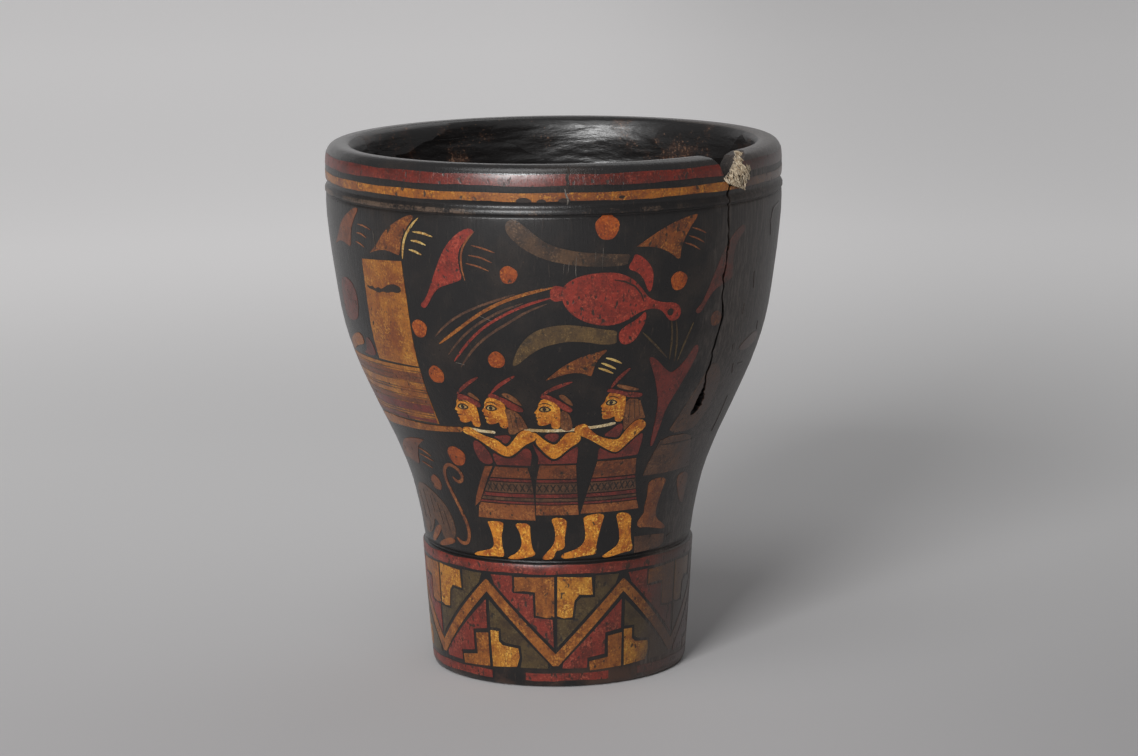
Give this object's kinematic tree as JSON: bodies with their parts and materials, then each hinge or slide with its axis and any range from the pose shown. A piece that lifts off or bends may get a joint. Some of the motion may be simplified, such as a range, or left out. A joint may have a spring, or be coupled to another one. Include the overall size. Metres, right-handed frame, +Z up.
{
  "type": "inlaid wooden beaker",
  "caption": "Flared wooden drinking beaker with a waisted foot, chipped rim and pictures of coloured resin sheets set flush into its dark wall.",
  "frame": {"origin": "centre of the foot's flat underside", "axes": "+Z up along the beaker's axis, the middle of the picture faces -Y, the chipped rim is towards +X and -Y"},
  "size_m": [0.16, 0.16, 0.186],
  "materials": {
    "dark_wood": "oiled, semi-gloss",
    "red_resin": "semi-gloss",
    "yellow_resin": "semi-gloss",
    "amber_resin": "semi-gloss",
    "orange_resin": "semi-gloss",
    "olive_resin": "semi-gloss",
    "maroon_resin": "semi-gloss",
    "brown_resin": "semi-gloss",
    "plant_fibre": "dry, frayed"
  },
  "bodies": {
    "root": {"cup_body": "dark_wood", "rim_red_band": "red_resin", "rim_yellow_band": "yellow_resin", "foot_red_band": "red_resin", "foot_zigzag": "yellow_resin", "foot_red_fields": "red_resin", "foot_green_fields": "olive_resin", "foot_amber_steps": "amber_resin", "foot_yellow_steps": "yellow_resin", "discs": "orange_resin", "orange_flowers": "orange_resin", "red_flowers": "red_resin", "bird_body": "red_resin", "bird_shoulders": "red_resin", "bird_wings": "olive_resin", "plant": "maroon_resin", "litter_panel": "amber_resin", "litter_base": "brown_resin", "litter_pole": "amber_resin", "bearer_heads": "orange_resin", "bearer_headbands": "red_resin", "bearer_hair": "brown_resin", "bearer_arms": "orange_resin", "bearer_tunics": "maroon_resin", "bearer_skirts": "brown_resin", "skirt_hems": "maroon_resin", "bearer_legs": "orange_resin", "figure_skirt": "brown_resin", "figure_leg": "orange_resin", "figure_block": "brown_resin", "monkey": "brown_resin", "fibre_plug": "plant_fibre"}
  },
  "joints": []
}
